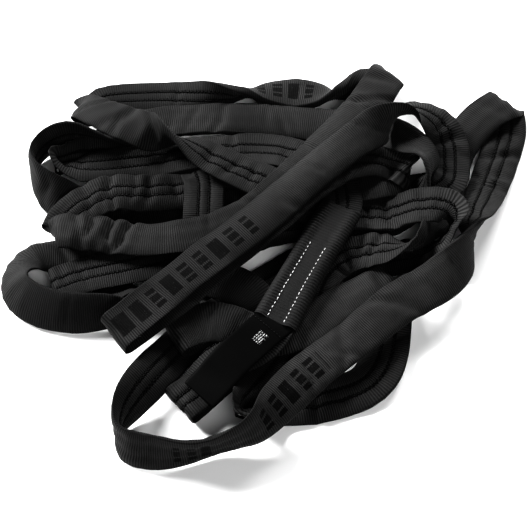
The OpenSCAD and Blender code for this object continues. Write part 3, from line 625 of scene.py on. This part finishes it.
yarn = []
yarn_turn = 2 * np.pi * np.arange(YARN_SIDES) / YARN_SIDES
YARNS = (("core_yarn_left", -YARN_PLACE), ("core_yarn_middle", 0.0), ("core_yarn_right", YARN_PLACE))
for name, x in YARNS:
    col = int(np.abs(ACROSS_PLAIN - x).argmin())
    back = len(ACROSS_PLAIN) + int(np.abs(ACROSS_STITCHED - x).argmin())
    room = np.min([np.minimum(out[:, col + k], out[:, back + k]) for k in (-1, 0, 1)], 0)
    tight = np.min([np.roll(room, k) for k in (-2, -1, 0, 1, 2)], 0)
    high = np.clip(tight * YARN_FILL, *YARN_HEIGHT)
    broad = YARN_HALF_WIDTH * HALF_WIDTH * factor
    beside = unit(sling_core[:, col + 1] - sling_core[:, col - 1])
    bundle = sling_core[:, None, col] \
        + broad[:, None, None] * np.cos(yarn_turn)[None, :, None] * beside[:, None] \
        + high[:, None, None] * np.sin(yarn_turn)[None, :, None] * plain[:, None]
    piece = make_piece(name + "_bundle", bundle, closed_tube(rings, YARN_SIDES))
    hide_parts(name)
    yarn.append(piece)

# ---- label sleeve
SLEEVE_HALF = 29 * MM     # half the sleeve's width
SLEEVE_WALL = 1.2 * MM
SLEEVE_FLAT = 4.6 * MM    # height of the sleeve's middle over the strap's
SLEEVE_ROLL = 1.7 * MM    # how much higher the roll at each edge is
ROLL_PLACE = 19.5 * MM
ROLL_WIDTH = 6.5 * MM
RIB = 4.3 * MM            # from one cross rib to the next
RIB_HEIGHT = 1.1 * MM     # on the rolls
RIB_HEIGHT_FLAT = 0.22 * MM  # on the flat middle
ROW = 11 * MM             # from the middle to each row of white stitches
ROW_DEPTH = 0.7 * MM      # how far the row is drawn in
ROW_WIDTH = 1.6 * MM
SLEEVE_RINGS = 270
SLEEVE_ACROSS = 24        # points across each face


def sleeve_flat(y):
    """Height of a face without its rolls and ribs, rounded off at the edges."""
    return SLEEVE_FLAT * np.clip(1 - np.abs(y / SLEEVE_HALF) ** 6, 0, 1) ** 0.5


def sleeve_top(x, y):
    """Height of the sleeve's upper face: a flat middle, and a puffed ribbed roll at each edge."""
    roll = np.exp(-((np.abs(y) - ROLL_PLACE) / ROLL_WIDTH) ** 2)
    row = np.exp(-((np.abs(y) - ROW) / ROW_WIDTH) ** 2)
    swell = 1 + 0.12 * np.sin(x / (31 * MM) + np.sign(y) * 1.3) + 0.06 * np.sin(x / (12 * MM) + y * 90)
    return sleeve_flat(y) + SLEEVE_ROLL * roll * swell - ROW_DEPTH * row


def sleeve_ribs(x, y):
    """Height of the cross ribs, above and below their middle, higher on the rolls."""
    edge = np.clip((np.abs(y) - ROW - 0.6 * MM) / (2 * MM), 0, 1)
    wander = 0.35 * MM * np.sin(y * 210 + x * 45)
    wave = 0.5 + 0.5 * np.cos(2 * np.pi * (x + wander) / RIB)
    return (RIB_HEIGHT * edge + RIB_HEIGHT_FLAT * (1 - edge)) * (wave ** 0.6 - 0.5)


def in_sleeve_frame(share, x, y, z):
    """Places on the sleeve, which narrows and sways a little over its length."""
    pinch = 1 - 0.05 * np.sin(np.pi * np.clip(share * 1.1, 0, 1)) ** 2 - 0.05 * share
    y = y * pinch + 1.6 * MM * np.sin(share * 3.1)
    z = z + 1.2 * MM * np.sin(share * 2.6)
    return SLEEVE_FOOT + x[:, None] * sleeve_x + y[:, None] * sleeve_y + z[:, None] * UP


def there_and_back(upper, lower):
    """One ring of the sleeve: across its upper face and back across its lower one."""
    return np.concatenate([upper, lower[::-1][1:-1]])


def sleeve_shell():
    """The sleeve as an open tube with an inner and an outer skin."""
    y_outer = np.cos(np.linspace(0, np.pi, SLEEVE_ACROSS)) * SLEEVE_HALF
    frayed = 1.2 * MM * np.sin(np.linspace(0, 9, SLEEVE_ACROSS))
    rows, shade = [], []
    for outside in (True, False):
        inset = 0 if outside else SLEEVE_WALL
        y = y_outer * (1 - inset / SLEEVE_HALF)
        for share in np.linspace(0, 1, SLEEVE_RINGS):
            x = share * SLEEVE_LENGTH + frayed * (share in (0.0, 1.0))
            ribs = sleeve_ribs(x, y_outer)
            raised = ribs if outside else 0
            top = np.maximum(sleeve_top(x, y_outer) - inset + raised, 0.0)
            low = np.minimum(-(sleeve_flat(y_outer) - inset) - raised, 0)
            rows.append(in_sleeve_frame(share, there_and_back(x, x), there_and_back(y, y),
                                        there_and_back(top, low)))
            # painted highlight on the rib tops and painted shade in the troughs, kept for the material
            rib_shade_and_highlight = 0.5 + ribs / (1.2 * MM)
            shade.append(there_and_back(rib_shade_and_highlight, rib_shade_and_highlight))
    m = len(rows[0])
    within = SLEEVE_RINGS * m  # where the inner skin's points start
    last = within - m
    outer = tube_faces(SLEEVE_RINGS, m)
    inner = outer[:, ::-1] + within
    rim = []
    for j in range(m):
        e = (j + 1) % m
        rim.append([j, within + j, within + e, e])
        rim.append([last + e, within + last + e, within + last + j, last + j])
    piece = make_piece("label_sleeve_webbing", rows, [*outer.tolist(), *inner.tolist(), *rim])
    piece.data.attributes.new("painted_rib_light", "FLOAT", "POINT").data.foreach_set("value", np.ravel(shade))
    return piece


sleeve = sleeve_shell()
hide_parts("label_sleeve")

WHITE_COUNT = 20           # stitches in each row
WHITE_PITCH = 6.1 * MM
WHITE_START = 2.5 * MM     # from the sleeve's lower end
WHITE_THREAD = 0.95 * MM
WHITE_ARCH = 0.3 * MM
WHITE_LIFT = 0.1 * MM
WHITE_SIDES = 8

white_rows = []
for name, side in (("white_stitches_left", 1), ("white_stitches_right", -1)):
    start = WHITE_START + WHITE_PITCH * np.arange(WHITE_COUNT) + rng.uniform(-0.5, 0.5, WHITE_COUNT) * MM
    end = start + rng.uniform(3.2, 5.0, WHITE_COUNT) * MM
    wobble = rng.uniform(-0.55, 0.55, (2, WHITE_COUNT)) * MM
    ends = []
    for x, off in ((start, wobble[0]), (end, wobble[1])):
        y = side * ROW + off
        ends.append(in_sleeve_frame(x / SLEEVE_LENGTH, x, y, sleeve_top(x, y) + WHITE_LIFT))
    white_rows.append(threads(name, *ends, UP, WHITE_THREAD, WHITE_ARCH, WHITE_SIDES))
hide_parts("sleeve_stitches_left")
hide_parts("sleeve_stitches_right")

# ---- label tag
TAG_TURN = math.radians(226)  # the way the tag points, from +X
TAG_WIDTH, TAG_LENGTH = 50 * MM, 137 * MM
TAG_THICK = 0.9 * MM
TAG_ALONG, TAG_ACROSS = 90, 32  # points along and across the cloth
TAG_ROUNDED = 6 * MM            # length of the rounded lower corners
TAG_DRAWN_IN = 2.5 * MM         # how much narrower they make the lower end
tag_x, tag_y = level_axes(TAG_TURN)
tag_foot = np.array([SLEEVE_FOOT[0], SLEEVE_FOOT[1], 0])
# Heights of the tag's underside at distances along it, as it lies over the sling
DRAPE_X = np.array([-7, 4, 18.5, 32.5, 60.5, 86.5, 110.5, 130.5]) * MM
DRAPE_Z = np.array([39.9, 41.6, 43.2, 43.4, 43.7, 40.7, 32.2, 27.2]) * MM
DRAPE_ROUNDING = 6 * MM         # how far apart the heights are taken that are averaged


def tag_height(x, y):
    """Height of the tag's underside, with its soft waves and the curl of its upper end."""
    z = np.interp(x, DRAPE_X, DRAPE_Z)
    for k in (-1, 1):
        z = z + np.interp(x + k * DRAPE_ROUNDING, DRAPE_X, DRAPE_Z)
    wave = 0.7 * MM * np.sin(x / (17 * MM) + 1.0) * (y / TAG_WIDTH) \
        - 1.5 * MM * (y / (TAG_WIDTH / 2)) ** 2 * np.clip(1 - x / (40 * MM), 0, 1)
    return z / 3 + wave + 0.35 * MM * np.sin(x / (9 * MM) + 2.2 * y / TAG_WIDTH)


def on_tag(x, y, above):
    """Places at a height above the tag's underside."""
    z = tag_height(x, y) + above
    return tag_foot + np.asarray(x)[..., None] * tag_x + y[:, None] * tag_y + z[:, None] * UP


def tag_sheet():
    """The tag as one closed cloth, from under the sleeve to its loose end."""
    xs = np.linspace(DRAPE_X[0], DRAPE_X[-1], TAG_ALONG)
    ys = np.linspace(-0.5, 0.5, TAG_ACROSS)
    thickness = TAG_THICK * np.clip(1 - np.abs(ys * 2) ** 24, 0.1, 1)
    layers = []
    for above in (thickness, 0 * thickness):
        for x in xs:
            far = np.clip((x - (DRAPE_X[-1] - TAG_ROUNDED)) / TAG_ROUNDED, 0, 1)
            layers.append(on_tag(x, ys * (TAG_WIDTH - TAG_DRAWN_IN * far ** 2), above))
    m = TAG_ACROSS
    below = TAG_ALONG * m  # where the underside's points start
    faces = []
    for i in range(TAG_ALONG - 1):
        for a in range(i * m, i * m + m - 1):
            faces.append([a, a + m, a + m + 1, a + 1])
            faces.append([below + a, below + a + 1, below + a + m + 1, below + a + m])
    for i in range(TAG_ALONG - 1):
        for a in (i * m, i * m + m - 1):
            quad = [a, below + a, below + a + m, a + m]
            faces.append(quad if a == i * m else quad[::-1])
    for j in range(m - 1):
        for a in (j, below - m + j):
            quad = [a, a + 1, below + a + 1, below + a]
            faces.append(quad if a == j else quad[::-1])
    piece = make_piece("label_tag_cloth", layers, faces, body=None)
    grid_u = np.tile(np.repeat(xs, TAG_ACROSS), 2)
    grid_v = np.tile(ys * TAG_WIDTH, 2 * TAG_ALONG)
    corners = np.concatenate(faces)
    paint_uv(piece, np.stack([grid_u[corners], grid_v[corners]], 1))
    return piece


tag = tag_sheet()
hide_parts("label_tag", "tag_anchor")
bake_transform(tag)

TACK_COUNT = 10
TACK_HALF_LENGTH = 1.5 * MM
TACK_THREAD = 0.8 * MM
TACK_ARCH = 0.15 * MM
TACK_SIDES = 6
tack_y = np.linspace(-20, 20, TACK_COUNT) * MM
tack_x = np.full(TACK_COUNT, 12.5 * MM)
tag_stitches = threads("tag_tack_stitches", on_tag(tack_x, tack_y - TACK_HALF_LENGTH, TAG_THICK),
                       on_tag(tack_x, tack_y + TACK_HALF_LENGTH, TAG_THICK),
                       UP, TACK_THREAD, TACK_ARCH, TACK_SIDES)
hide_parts("tag_stitches")


# ---- materials
class Nodes:
    """A short way to write a node material."""

    def __init__(self, name):
        self.material = bpy.data.materials.new(name)
        self.material.use_nodes = True
        self.tree = self.material.node_tree
        self.shader = self.tree.nodes["Principled BSDF"]

    def plug(self, node, key, value):
        """Links a socket to an input, or sets the input to a plain value."""
        if isinstance(value, bpy.types.NodeSocket):
            self.tree.links.new(value, node.inputs[key])
        else:
            node.inputs[key].default_value = value

    def add(self, kind, inputs, **settings):
        node = self.tree.nodes.new(kind)
        for key, value in settings.items():
            setattr(node, key, value)
        for key, value in inputs.items():
            self.plug(node, key, value)
        return node

    def math(self, kind, a, b=0.0, c=0.0, clamp=False):
        return self.add("ShaderNodeMath", {0: a, 1: b, 2: c}, operation=kind, use_clamp=clamp).outputs[0]

    def times(self, a, b, clamp=False):
        return self.math("MULTIPLY", a, b, clamp=clamp)

    def scaled(self, value, gain, start, clamp=False):
        """value * gain + start"""
        return self.math("MULTIPLY_ADD", value, gain, start, clamp)

    def away(self, value, middle):
        """How far a value is from a middle one, to either side."""
        return self.math("ABSOLUTE", self.math("SUBTRACT", value, middle))

    def wave(self, value, pitch):
        """0 to 1 and back over each pitch."""
        turned = self.scaled(value, 2 * math.pi / pitch, 0.0)
        return self.scaled(self.math("COSINE", turned), 0.5, 0.5)

    def uv(self, name="UVMap"):
        node = self.add("ShaderNodeUVMap", {}, uv_map=name)
        parts = self.add("ShaderNodeSeparateXYZ", {0: node.outputs[0]})
        return parts.outputs[0], parts.outputs[1]

    def place(self):
        return self.add("ShaderNodeTexCoord", {}).outputs["Object"]

    def noise(self, scale, detail):
        """Noise with a number of blobs in a metre and a number of finer layers."""
        inputs = {"Scale": scale, "Detail": detail, "Roughness": 0.55, "Vector": self.place()}
        return self.add("ShaderNodeTexNoise", inputs).outputs[0]

    def mix(self, share, a, b):
        return self.add("ShaderNodeMix", {0: share, 6: a, 7: b}, data_type="RGBA").outputs[2]

    def bump(self, height, distance, strength, under=None):
        inputs = {"Height": height, "Distance": distance, "Strength": strength}
        if under is not None:
            inputs["Normal"] = under
        return self.add("ShaderNodeBump", inputs).outputs[0]

    def finish(self, **values):
        """Sets the shader's own inputs, with underscores for the spaces in their names."""
        for key, value in values.items():
            self.plug(self.shader, key.replace("_", " "), value)
        return self.material


def grey(value, warm=0.0):
    return (value * (1 + warm), value, value * (1 - warm), 1)


SHEEN = {"Sheen_Weight": 0.02, "Sheen_Roughness": 0.4, "Sheen_Tint": (1, 1, 1, 1)}
CLOTH_RIB = 2.7 * MM        # from one cross rib of the cover's weave to the next
CLOTH_WARP = 1.35 * MM      # from one lengthwise thread to the next
SEAM_SHADE_PITCH = 5.4 * MM
SEAM_SHADE_SWING = 2.4 * MM
SEAM_SHADE_WIDTH = 2.4 * MM
EDGE_SHADE_START = 20 * MM  # from the middle of the strap
WEBBING_THREAD = 1.43 * MM  # along the label sleeve
WEBBING_ROW = 1.6 * MM      # across it
DASH_ROW = 3.1 * MM         # from one line of dashes on the tag to the next
DASH_PATCH = ((30 * MM, 8 * MM), (4 * MM, 6.2 * MM))  # middle and half size, along and across
BLACK, DARK = grey(0.0012), grey(0.034, 0.006)


def weave_of_cover(n, u, v):
    """Cross ribs that fade in places, and the whole height of the weave."""
    across = n.math("FRACT", n.math("ADD", v, 0.5))
    drift = n.scaled(n.noise(60, 2), 1.6 * MM, u)
    fade = n.scaled(n.noise(22, 3), 2.4, -0.55, clamp=True)
    strength = n.scaled(fade, 0.6, 0.22)
    ribs = n.scaled(n.math("SUBTRACT", n.wave(drift, CLOTH_RIB), 0.5), strength, 0.5)
    warp = n.wave(n.math("ADD", across, n.times(n.noise(35, 2), 0.8 * MM)), CLOTH_WARP)
    weave = n.times(warp, n.scaled(ribs, 0.5, 0.5))
    return ribs, n.scaled(ribs, 0.75, n.times(weave, 0.3))


def seam_groove(n, u, v):
    """1 in the middle of the sewn rows and 0 away from them."""
    swing = n.scaled(n.wave(u, SEAM_SHADE_PITCH), SEAM_SHADE_SWING, -SEAM_SHADE_SWING / 2)
    row = n.math("SUBTRACT", n.away(v, 1.0), SEAM)
    off = n.math("ABSOLUTE", n.math("ADD", row, n.times(swing, 0.6)))
    near = n.math("SMOOTH_MIN", n.math("DIVIDE", off, SEAM_SHADE_WIDTH), 1.0, 0.3)
    return n.times(n.math("SUBTRACT", 1.0, near, clamp=True), 2.2, clamp=True)


def printed_blocks(n, ribs):
    """Worn bars of three kinds, some with a gap along them; 1 where there is ink."""
    u, v = n.uv("Print")
    kind = n.math("FRACT", n.times(n.math("FLOOR", u), 0.37))
    bar = n.math("LESS_THAN", n.away(n.math("FRACT", u), 0.5), n.scaled(kind, 0.12, 0.24))
    height = n.math("ABSOLUTE", v)
    tall = n.math("LESS_THAN", height, 0.95)
    clear_of_gap = n.math("GREATER_THAN", n.away(height, 0.42), 0.1)
    split = n.math("MAXIMUM", clear_of_gap, n.math("GREATER_THAN", kind, 0.5))
    shown = n.math("GREATER_THAN", u, 0.0)
    worn = n.math("GREATER_THAN", n.scaled(ribs, 0.12, n.noise(420, 3)), 0.4)
    return n.times(n.times(n.times(bar, tall), n.times(split, shown)), worn)


def cover_fabric():
    n = Nodes("cover_fabric")
    u, v = n.uv()
    ribs, height = weave_of_cover(n, u, v)
    crest = n.math("POWER", ribs, 1.3)
    blotch, fuzz = n.noise(14, 4), n.noise(900, 2)
    # the rib crests are paler as a painted highlight, with painted shade in the troughs between them;
    # the blotches are paler too, broken up by the fuzz and by broad darker stretches
    tone = n.scaled(crest, 0.8, n.scaled(blotch, 0.7, -0.4))
    tone = n.scaled(n.math("SUBTRACT", fuzz, 0.5), 0.5, tone, clamp=True)
    drape = n.scaled(n.noise(5.5, 2), 2.2, -0.35, clamp=True)
    cloth = n.mix(n.times(tone, n.scaled(drape, 0.75, 0.4)), BLACK, DARK)
    # the creased edges and the sewn rows lie in their own shade
    edge = n.away(v, n.math("ROUND", v))
    edge = n.scaled(n.math("SUBTRACT", edge, EDGE_SHADE_START), 90.0, 0.0, clamp=True)
    cloth = n.mix(n.times(edge, 0.55), cloth, BLACK)
    groove = seam_groove(n, u, v)
    cloth = n.mix(groove, cloth, grey(0.0002))
    ink = printed_blocks(n, ribs)
    rough = n.scaled(crest, -0.16, n.scaled(blotch, 0.18, 0.62))
    rough = n.scaled(groove, 0.3, rough)
    return n.finish(Base_Color=n.mix(ink, cloth, grey(0.0004)),
                    Roughness=n.scaled(ink, 0.2, rough, clamp=True),
                    Normal=n.bump(fuzz, 0.12 * MM, 0.5, n.bump(height, 0.5 * MM, 1.0)),
                    Specular_IOR_Level=0.11, **SHEEN)


def thread_material(name, tone, bright, rough=0.5):
    n = Nodes(name)
    twist = n.noise(2600, 2)
    return n.finish(Base_Color=n.mix(twist, grey(tone), grey(bright)), Roughness=rough,
                    Normal=n.bump(twist, 0.1 * MM, 0.6), Specular_IOR_Level=0.2)


def sleeve_material():
    n = Nodes("sleeve_webbing")
    turned = n.add("ShaderNodeMapping", {"Vector": n.place(), "Rotation": (0, 0, -SLEEVE_TURN)})
    parts = n.add("ShaderNodeSeparateXYZ", {0: turned.outputs[0]})
    fine = n.wave(parts.outputs[0], WEBBING_THREAD)
    rows = n.wave(parts.outputs[1], WEBBING_ROW)
    weave = n.scaled(fine, 0.6, n.times(rows, 0.4))
    blotch = n.noise(40, 4)
    tone = n.scaled(weave, 0.5, n.scaled(blotch, 0.9, -0.35), clamp=True)
    # painted highlight on the tops of the mesh's own ribs and painted shade between them
    painted_rib_light = n.add("ShaderNodeAttribute", {}, attribute_name="painted_rib_light").outputs["Fac"]
    tone = n.times(tone, n.times(n.scaled(painted_rib_light, 1.3, 0.1), 1.0, clamp=True))
    return n.finish(Base_Color=n.mix(tone, grey(0.0008), grey(0.016, 0.006)),
                    Roughness=n.scaled(blotch, 0.15, 0.55),
                    Normal=n.bump(n.noise(900, 2), 0.1 * MM, 0.5, n.bump(weave, 0.3 * MM, 0.9)),
                    Specular_IOR_Level=0.15, **SHEEN)


def tag_material():
    n = Nodes("tag_fabric")
    u, v = n.uv()
    grain = n.noise(1500, 3)
    # a small worn patch of generic white dashes
    line = n.math("LESS_THAN", n.away(n.math("FRACT", n.math("DIVIDE", v, DASH_ROW)), 0.5), 0.26)
    broken = n.math("GREATER_THAN", n.noise(520, 2), 0.5)
    near_u, near_v = (n.math("LESS_THAN", n.away(value, middle_of), half)
                      for value, (middle_of, half) in zip((u, v), DASH_PATCH))
    patch = n.times(n.times(near_u, near_v), n.times(line, broken))
    dark = n.mix(grain, grey(0.0003), BLACK)
    return n.finish(Base_Color=n.mix(patch, dark, grey(0.32)), Roughness=n.scaled(grain, 0.2, 0.5),
                    Normal=n.bump(grain, 0.08 * MM, 0.4), Specular_IOR_Level=0.04)


def finish_with(piece, material):
    piece.data.materials.clear()
    piece.data.materials.append(material)


finish_with(cover, cover_fabric())
black_thread = thread_material("seam_thread", 0.0004, 0.002)
for piece in [*seam_pieces, join_piece, tag_stitches]:
    finish_with(piece, black_thread)
white_thread = thread_material("white_thread", 0.35, 0.85, 0.6)
for piece in white_rows:
    finish_with(piece, white_thread)
yarn_material = thread_material("core_yarn", 0.55, 0.75, 0.6)
for piece in yarn:
    finish_with(piece, yarn_material)
finish_with(sleeve, sleeve_material())
finish_with(tag, tag_material())

# ---- floor and light
FLOOR_REACH = 9  # metres each way, so that a low view still ends on it
KEY_STRENGTH, KEY_ANGLE = 8.6, math.radians(22)
KEY_WAY = (1.6, -1.2, -1.25)
WORLD_STRENGTH = 0.07

floor_mesh = bpy.data.meshes.new("floor")
floor_corners = [(x * FLOOR_REACH, y * FLOOR_REACH, 0) for x, y in ((-1, -1), (1, -1), (1, 1), (-1, 1))]
floor_mesh.from_pydata(floor_corners, [], [(0, 1, 2, 3)])
new_object("floor", floor_mesh)
floor_mesh.materials.append(Nodes("paper").finish(Base_Color=(0.9, 0.9, 0.9, 1), Roughness=0.9))


def add_light(name, kind, way, power, place=(0, 0, 0)):
    """A light that shines one way, from one place."""
    light = new_object(name, bpy.data.lights.new(name, kind))
    light.data.energy = power
    light.location = place
    light.rotation_euler = Vector(way).to_track_quat("-Z", "Y").to_euler()
    return light.data


def area_light(name, place, target, size, power):
    add_light(name, "AREA", Vector(target) - Vector(place), power, place).size = size


add_light("key", "SUN", KEY_WAY, KEY_STRENGTH).angle = KEY_ANGLE
area_light("fill", (0.7, -1.7, 1.7), (0, 0, 0), 1.6, 34)
area_light("rim", (1.0, 1.9, 1.1), (0, 0, 0.03), 0.7, 50)
world = bpy.data.worlds.new("world")
world.use_nodes = True
world.node_tree.nodes["Background"].inputs["Color"].default_value = (1, 1, 1, 1)
world.node_tree.nodes["Background"].inputs["Strength"].default_value = WORLD_STRENGTH
bpy.context.scene.world = world
bpy.context.scene.view_settings.view_transform = "Standard"
bpy.context.scene.view_settings.look = "High Contrast"
